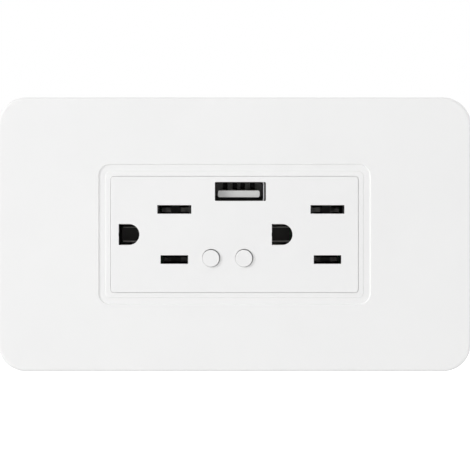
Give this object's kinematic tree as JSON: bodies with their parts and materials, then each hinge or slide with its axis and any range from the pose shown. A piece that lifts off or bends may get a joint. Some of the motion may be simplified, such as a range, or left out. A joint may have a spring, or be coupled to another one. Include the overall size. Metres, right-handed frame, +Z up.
{
  "type": "smart wall outlet",
  "caption": "Wide white wall plate with a recessed-line frame round a duplex grounded socket, a USB charging port and push buttons, on a deep wired box with relays.",
  "frame": {"origin": "middle of the mounting strap's back face, midway between the box-screw slots, on the wall's surface", "axes": "+X to the right along the plate as seen from the room, +Y into the wall, +Z up"},
  "size_m": [0.12, 0.0416, 0.0694],
  "materials": {
    "plate_plastic": "white polycarbonate, fine satin",
    "face_plastic": "white polycarbonate, fine satin",
    "button_plastic": "white moulded caps",
    "frame_plastic": "white moulded frame",
    "housing_plastic": "pale grey flame-proof moulding",
    "core_plastic": "black insulator",
    "strap_steel": "zinc-plated sheet",
    "screw_steel": "zinc-plated screws",
    "contact_brass": "stamped spring bronze, dull",
    "line_brass": "brass terminal screw",
    "neutral_nickel": "nickel-plated terminal screw",
    "ground_green": "green terminal screw",
    "board_green": "printed board with solder mask",
    "radio_board": "dark printed board",
    "shield_tin": "tinned sheet",
    "usb_steel": "bright folded sheet",
    "usb_insulator": "white insulator",
    "usb_gold": "plated spring contacts",
    "relay_case": "sealed black case",
    "ferrite": "sintered ferrite",
    "coil_tape": "taped winding",
    "can_sleeve": "shrink sleeve over an aluminium can",
    "film_case": "yellow boxed capacitor",
    "fuse_case": "black boxed fuse",
    "varistor_coat": "blue dipped disc",
    "chip_epoxy": "moulded package",
    "switch_body": "black push switch",
    "plunger_plastic": "black plunger"
  },
  "bodies": {
    "outlet": {"wall_plate": "plate_plastic", "face_cover": "face_plastic", "snap_frame": "frame_plastic", "mounting_strap": "strap_steel", "rear_housing": "housing_plastic", "socket_core_left": "core_plastic", "socket_core_right": "core_plastic", "neutral_bus": "contact_brass", "hot_contact_left": "contact_brass", "hot_contact_right": "contact_brass", "ground_bus": "contact_brass", "line_terminal": "contact_brass", "clamp_plates": "screw_steel", "line_screw": "line_brass", "neutral_screw": "neutral_nickel", "ground_screw": "ground_green", "case_screws": "screw_steel", "frame_screws": "screw_steel", "board_screws": "screw_steel", "main_board": "board_green", "control_board": "board_green", "header_strip": "core_plastic", "header_pins": "usb_gold", "usb_shell": "usb_steel", "usb_tongue": "usb_insulator", "usb_contacts": "usb_gold", "wifi_board": "radio_board", "wifi_shield": "shield_tin", "tact_switch_left": "switch_body", "tact_switch_right": "switch_body", "relay_upper": "relay_case", "relay_lower": "relay_case", "transformer_core": "ferrite", "transformer_coil": "coil_tape", "bulk_capacitor": "can_sleeve", "output_capacitor": "can_sleeve", "film_capacitor": "film_case", "fuse": "fuse_case", "varistor": "varistor_coat", "inductor": "ferrite", "bridge_rectifier": "chip_epoxy"},
    "left_button": {"button_left": "button_plastic", "switch_plunger_left": "plunger_plastic"},
    "right_button": {"button_right": "button_plastic", "switch_plunger_right": "plunger_plastic"}
  },
  "joints": [
    {"name": "left_button_press", "type": "slide", "parent": "outlet", "child": "left_button", "axis": [0, 1, 0], "range_m": [0, 0.0004], "stiffness_N_per_m": 4000, "springref_m": -0.0001},
    {"name": "right_button_press", "type": "slide", "parent": "outlet", "child": "right_button", "axis": [0, 1, 0], "range_m": [0, 0.0004], "stiffness_N_per_m": 4000, "springref_m": -0.0001}
  ]
}
